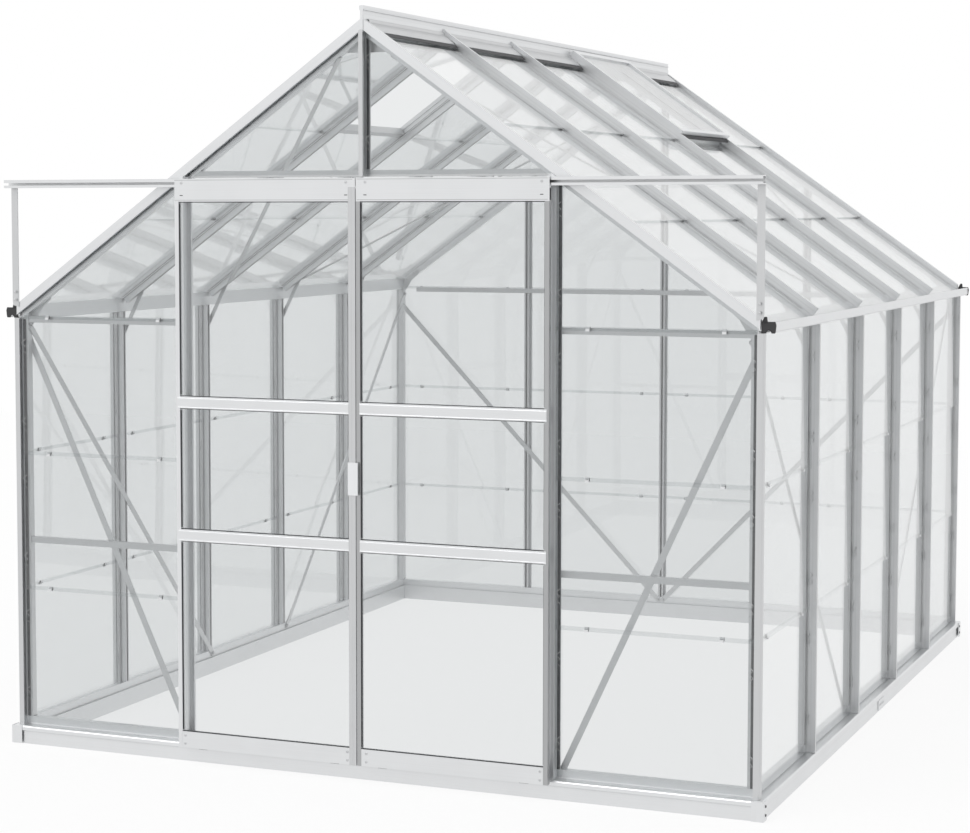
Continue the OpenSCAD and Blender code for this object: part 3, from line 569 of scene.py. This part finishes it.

# %% [markdown]
# ## Ridge
# Beside the ridge beam a folded wing covers the heads of the roof panes, with a black rubber strip under its
# edge; the strip also paints the shadow of the gap there. It is a prism for each bay, cut short of the bars'
# caps, and it is left out where a vent is hinged. A rubber lies under the foot of each vent and also paints
# the shadow gap there, and two small plates close the ends of the beam.

# %% Ridge wings
FALL = math.tan(ROOF_SLOPE)
GLASS_APEX = max((p.z + abs(p.x) * FALL) * 1000 for corners in solids("right_roof_glass") for p in corners)
VENT_BAYS = {-1: 1, 1: 3}
END_CUT = 18
BAR_CUT = 8
WING = ((48, 4.6), (48, 7.2), (29, 10), (12.4, 10), (10.8, 18), (8.8, 18), (10.6, 7.6), (29, 7.6))
WING_SHADE_RUBBER = ((49, 0.4), (61, 0.4), (60, 2.4), (49, 4.4))
VENT_SHADE_RUBBER = ((434, 2021), (447, 2015), (450, 2025), (436, 2031))
VENT_SHADE_RUBBER_LONG = 604
END_PLATE = [(-16, 0), (16, 0), (16, 10), (12, 14), (-12, 14), (-16, 10)]


def above_slope(side, outline):
    """An outline of (distance from the ridge, height over the glass), laid on one slope."""
    return [(side * x, GLASS_APEX - x * FALL + lift) for x, lift in outline]


wing_mesh, wing_shade_rubber = bmesh.new(), bmesh.new()
for side in (-1, 1):
    for bay in range(BAYS):
        if bay == VENT_BAYS[side]:
            continue
        start = bay * BAY + (END_CUT if bay == 0 else BAR_CUT)
        end = (bay + 1) * BAY - (END_CUT if bay == BAYS - 1 else BAR_CUT)
        prism(wing_mesh, above_slope(side, WING), at(0, end, 0), X, Z, end - start, 0.4)
        # The black rubber under each wing's edge is a seal that also paints the shadow of the gap.
        prism(wing_shade_rubber, above_slope(side, WING_SHADE_RUBBER), at(0, end, 0), X, Z, end - start, 0.5)
keep("ridge_wings", wing_mesh, METALS["mid", "along"])
keep("ridge_shade_rubbers", wing_shade_rubber, RUBBER)

# A black rubber under each vent's foot, which also paints the shadow gap between the vent and the glass.
vent_shade_rubber = bmesh.new()
for side, start in ((-1, 628), (1, 1868)):
    under = [(side * a, b) for a, b in VENT_SHADE_RUBBER]
    prism(vent_shade_rubber, under, at(0, start + VENT_SHADE_RUBBER_LONG, 0), X, Z, VENT_SHADE_RUBBER_LONG, 0.6)
keep("vent_foot_shade_rubbers", vent_shade_rubber, RUBBER)

plate_mesh = bmesh.new()
prism(plate_mesh, END_PLATE, at(0, 3122, 2298), X, Z, 9, 0.6)
keep("ridge_end_plate", plate_mesh, BLACK_PLASTIC)

plug_mesh = bmesh.new()
half = [(4.6, 2269), (4.6, 2357), (7.6, 2358), (7.6, 2369.5)]
prism(plug_mesh, half + [(-a, b) for a, b in reversed(half)], at(0, -12.1, 0), X, Z, 1.6, 0.3)
keep("ridge_front_plug", plug_mesh, METALS["pale", "up"])

# %% [markdown]
# ## Gutter ears
# The black end caps of the gutters finish in a small pointed ear. Four prisms stand on the caps.

# %% Gutter ears
EAR = ((1243, 1433), (1243, 1438), (1250, 1451), (1257, 1451), (1259, 1438), (1259, 1433))

ear_mesh = bmesh.new()
for side in (-1, 1):
    for y in (-1.3, 3105.3):
        ear = [(side * a, b) for a, b in EAR]
        prism(ear_mesh, ear, at(0, y, 0), X, Z, 4, 0.5)
keep("gutter_cap_ears", ear_mesh, BLACK_PLASTIC)

# %% [markdown]
# ## Doors
# A strip on the left leaf closes the joint between the leaves. The middle rails carry pale cover plates that
# run over the stiles, and thin dark strips along the top rails are painted shade lines. Black beads hold the
# panes in their rails. They are all long prisms.

# %% Doors
LEAF_FRONT = -61
PANE_FRONT = -53.7
STRIP = [
    (-24, -61.1), (-24, -63.4), (-23, -64.3), (-14, -64.3), (-13, -63.8), (-11, -63.8), (-10, -64.3),
    (-1, -64.3), (0, -63.4), (0, -61.1),
]
RAIL_SHADE_LINE = [(0, 0), (-0.7, 0), (-0.7, 1.4), (0, 1.4)]
COVER_SPANS = ((713, 751), (1133, 1171))
BEAD_SPANS = ((105.3, 107), (711, 712.7), (751.3, 753), (1131, 1132.7), (1171.3, 1173), (1777, 1779.7))
PANE_SPANS = ((110, 708), (756, 1128), (1176, 1775))


def cover_face(tall):
    """The outline of a middle rail's cover plate, with a groove near each long edge."""
    return [
        (0, 0), (-1.6, 0.6), (-1.9, 4), (-1.5, 5), (-1.9, 6), (-1.9, tall - 6), (-1.5, tall - 5),
        (-1.9, tall - 4), (-1.6, tall - 0.6), (0, tall),
    ]


strip_mesh = bmesh.new()
prism(strip_mesh, STRIP, at(0, 0, 52), X, Y, 1771, 0.3)
keep("meeting_strip", strip_mesh, METALS["mid", "up"], "left_door")

for leaf, side, inner in (("left", -1, 24), ("right", 1, 12.6)):
    covers, beads, line = bmesh.new(), bmesh.new(), bmesh.new()
    cover_start = -616 if side < 0 else inner
    line_start = -622 if side < 0 else 4.5
    bead_start = -607.5 if side < 0 else 15.5
    # Painted shade: thin deep-grey strips stand for the shade lines along each top rail.
    for z in (1784, 1846):
        prism(line, RAIL_SHADE_LINE, at(line_start, LEAF_FRONT, z), Y, Z, 612)
    keep(f"{leaf}_top_rail_shade_lines", line, METALS["deep", "across"], f"{leaf}_door")
    for low, high in COVER_SPANS:
        prism(covers, cover_face(high - low), at(cover_start, LEAF_FRONT - 0.1, low), Y, Z, 616 - inner, 0.2)
    for low, high in BEAD_SPANS:
        bead = [(0, 0), (-5.5, 0), (-6, high - low - 0.5), (0, high - low)]
        prism(beads, bead, at(bead_start, PANE_FRONT, low), Y, Z, 592, 0.3)
    for low, high in PANE_SPANS:
        for x in (15.4, 605.6):
            bead = [(side * x, 0), (side * (x + 2), 0), (side * (x + 2), -3), (side * x, -3.5)]
            prism(beads, bead, at(0, PANE_FRONT, low), X, Y, high - low, 0.3)
    keep(f"{leaf}_rail_covers", covers, METALS["pale", "across"], f"{leaf}_door")
    keep(f"{leaf}_pane_beads", beads, RUBBER, f"{leaf}_door")

# %% [markdown]
# ## Bolts and screws
# The bars are joined with square-cut plates and small bolts, and the doors are screwed through their rails.
# Every bolt is a washer and a six-sided head, each turned from its own profile.

# %% Bolts and screws
WASHER = [(7.5, 0), (7.5, 1.0), (7.0, 1.5), (5.0, 1.5)]
HEAD = [(5.8, 1.4), (5.8, 4.6), (5.0, 5.4), (3.0, 5.6)]
SCREW = [(4.4, 0), (4.4, 0.7), (3.4, 1.8), (1.5, 2.2), (1.2, 1.2)]
EAVE_BOLTS = ((1215, 1390), (1215, 1432), (1160, 1468), (1196, 1442))
APEX_BOLTS = ((30, 2252), (58, 2248))
FRONT_PLATE = 34.3
BACK_PLATE = 3065.7
BRACE_END = 0.008
SLOT = [(-5, 0), (5, 0), (5, 2.4), (-5, 2.4)]


def bolt(mesh, place, out):
    """A washer with a hexagon head on it."""
    turned(mesh, place, out, WASHER, 20)
    turned(mesh, place, out, HEAD, 6)


def extent(corners, axis):
    """How far some corners reach along an axis."""
    return max(p.dot(axis) for p in corners) - min(p.dot(axis) for p in corners)


bolts = bmesh.new()
for name in ("wall_braces", "eave_struts"):
    for corners in solids(name):
        middle = sum(corners, Vector()) / len(corners)
        far = max(corners, key=lambda p: (p - middle).length)
        ordered = sorted(corners, key=lambda p: (p - far).length)
        half = len(ordered) // 2
        ends = [sum(group, Vector()) / len(group) for group in (ordered[:half], ordered[half:])]
        thin = X if extent(corners, X) <= extent(corners, Y) else Y
        inward = -thin if middle.dot(thin) > 0 else thin
        way = (ends[1] - ends[0]).normalized()
        for place in (ends[0] + way * BRACE_END, ends[1] - way * BRACE_END):
            bolt(bolts, place + inward * 0.0015, inward)
for side in (-1, 1):
    for x, z in EAVE_BOLTS + APEX_BOLTS:
        bolt(bolts, at(side * x, FRONT_PLATE, z), Y)
        bolt(bolts, at(side * x, BACK_PLATE, z), -Y)
    for x, z in APEX_BOLTS:
        turned(bolts, at(side * x, 31.3, z), -Y, SCREW)
    for z in (1462, 1488):
        turned(bolts, at(side * 1240, -23, z), -Y, SCREW)
    for y in (1572, 1590, 1612, 1630):
        turned(bolts, at(side * 1263.5, y, 22), X * side, SCREW)
keep("frame_bolts", bolts, METALS["mid", "across"])

dark_bolts = bmesh.new()
for side in (-1, 1):
    for y in (-6, 3106):
        for z in (17, 43):
            turned(dark_bolts, at(side * 1268.3, y, z), X * side, SCREW)
keep("base_corner_screws", dark_bolts, BLACK_PLASTIC)

for leaf, side in (("left", -1), ("right", 1)):
    screws, slots = bmesh.new(), bmesh.new()
    for x in (32, 598):
        turned(screws, at(side * x, LEAF_FRONT, 1838), -Y, SCREW)
        for z in (66, 92):
            turned(screws, at(side * x, LEAF_FRONT, z), -Y, SCREW)
        prism(slots, SLOT, at(side * x, LEAF_FRONT - 0.1, 1798), X, Z, 0.5, 0.1)
    keep(f"{leaf}_door_screws", screws, METALS["mid", "across"], f"{leaf}_door")
    keep(f"{leaf}_door_slots", slots, BLACK_PLASTIC, f"{leaf}_door")
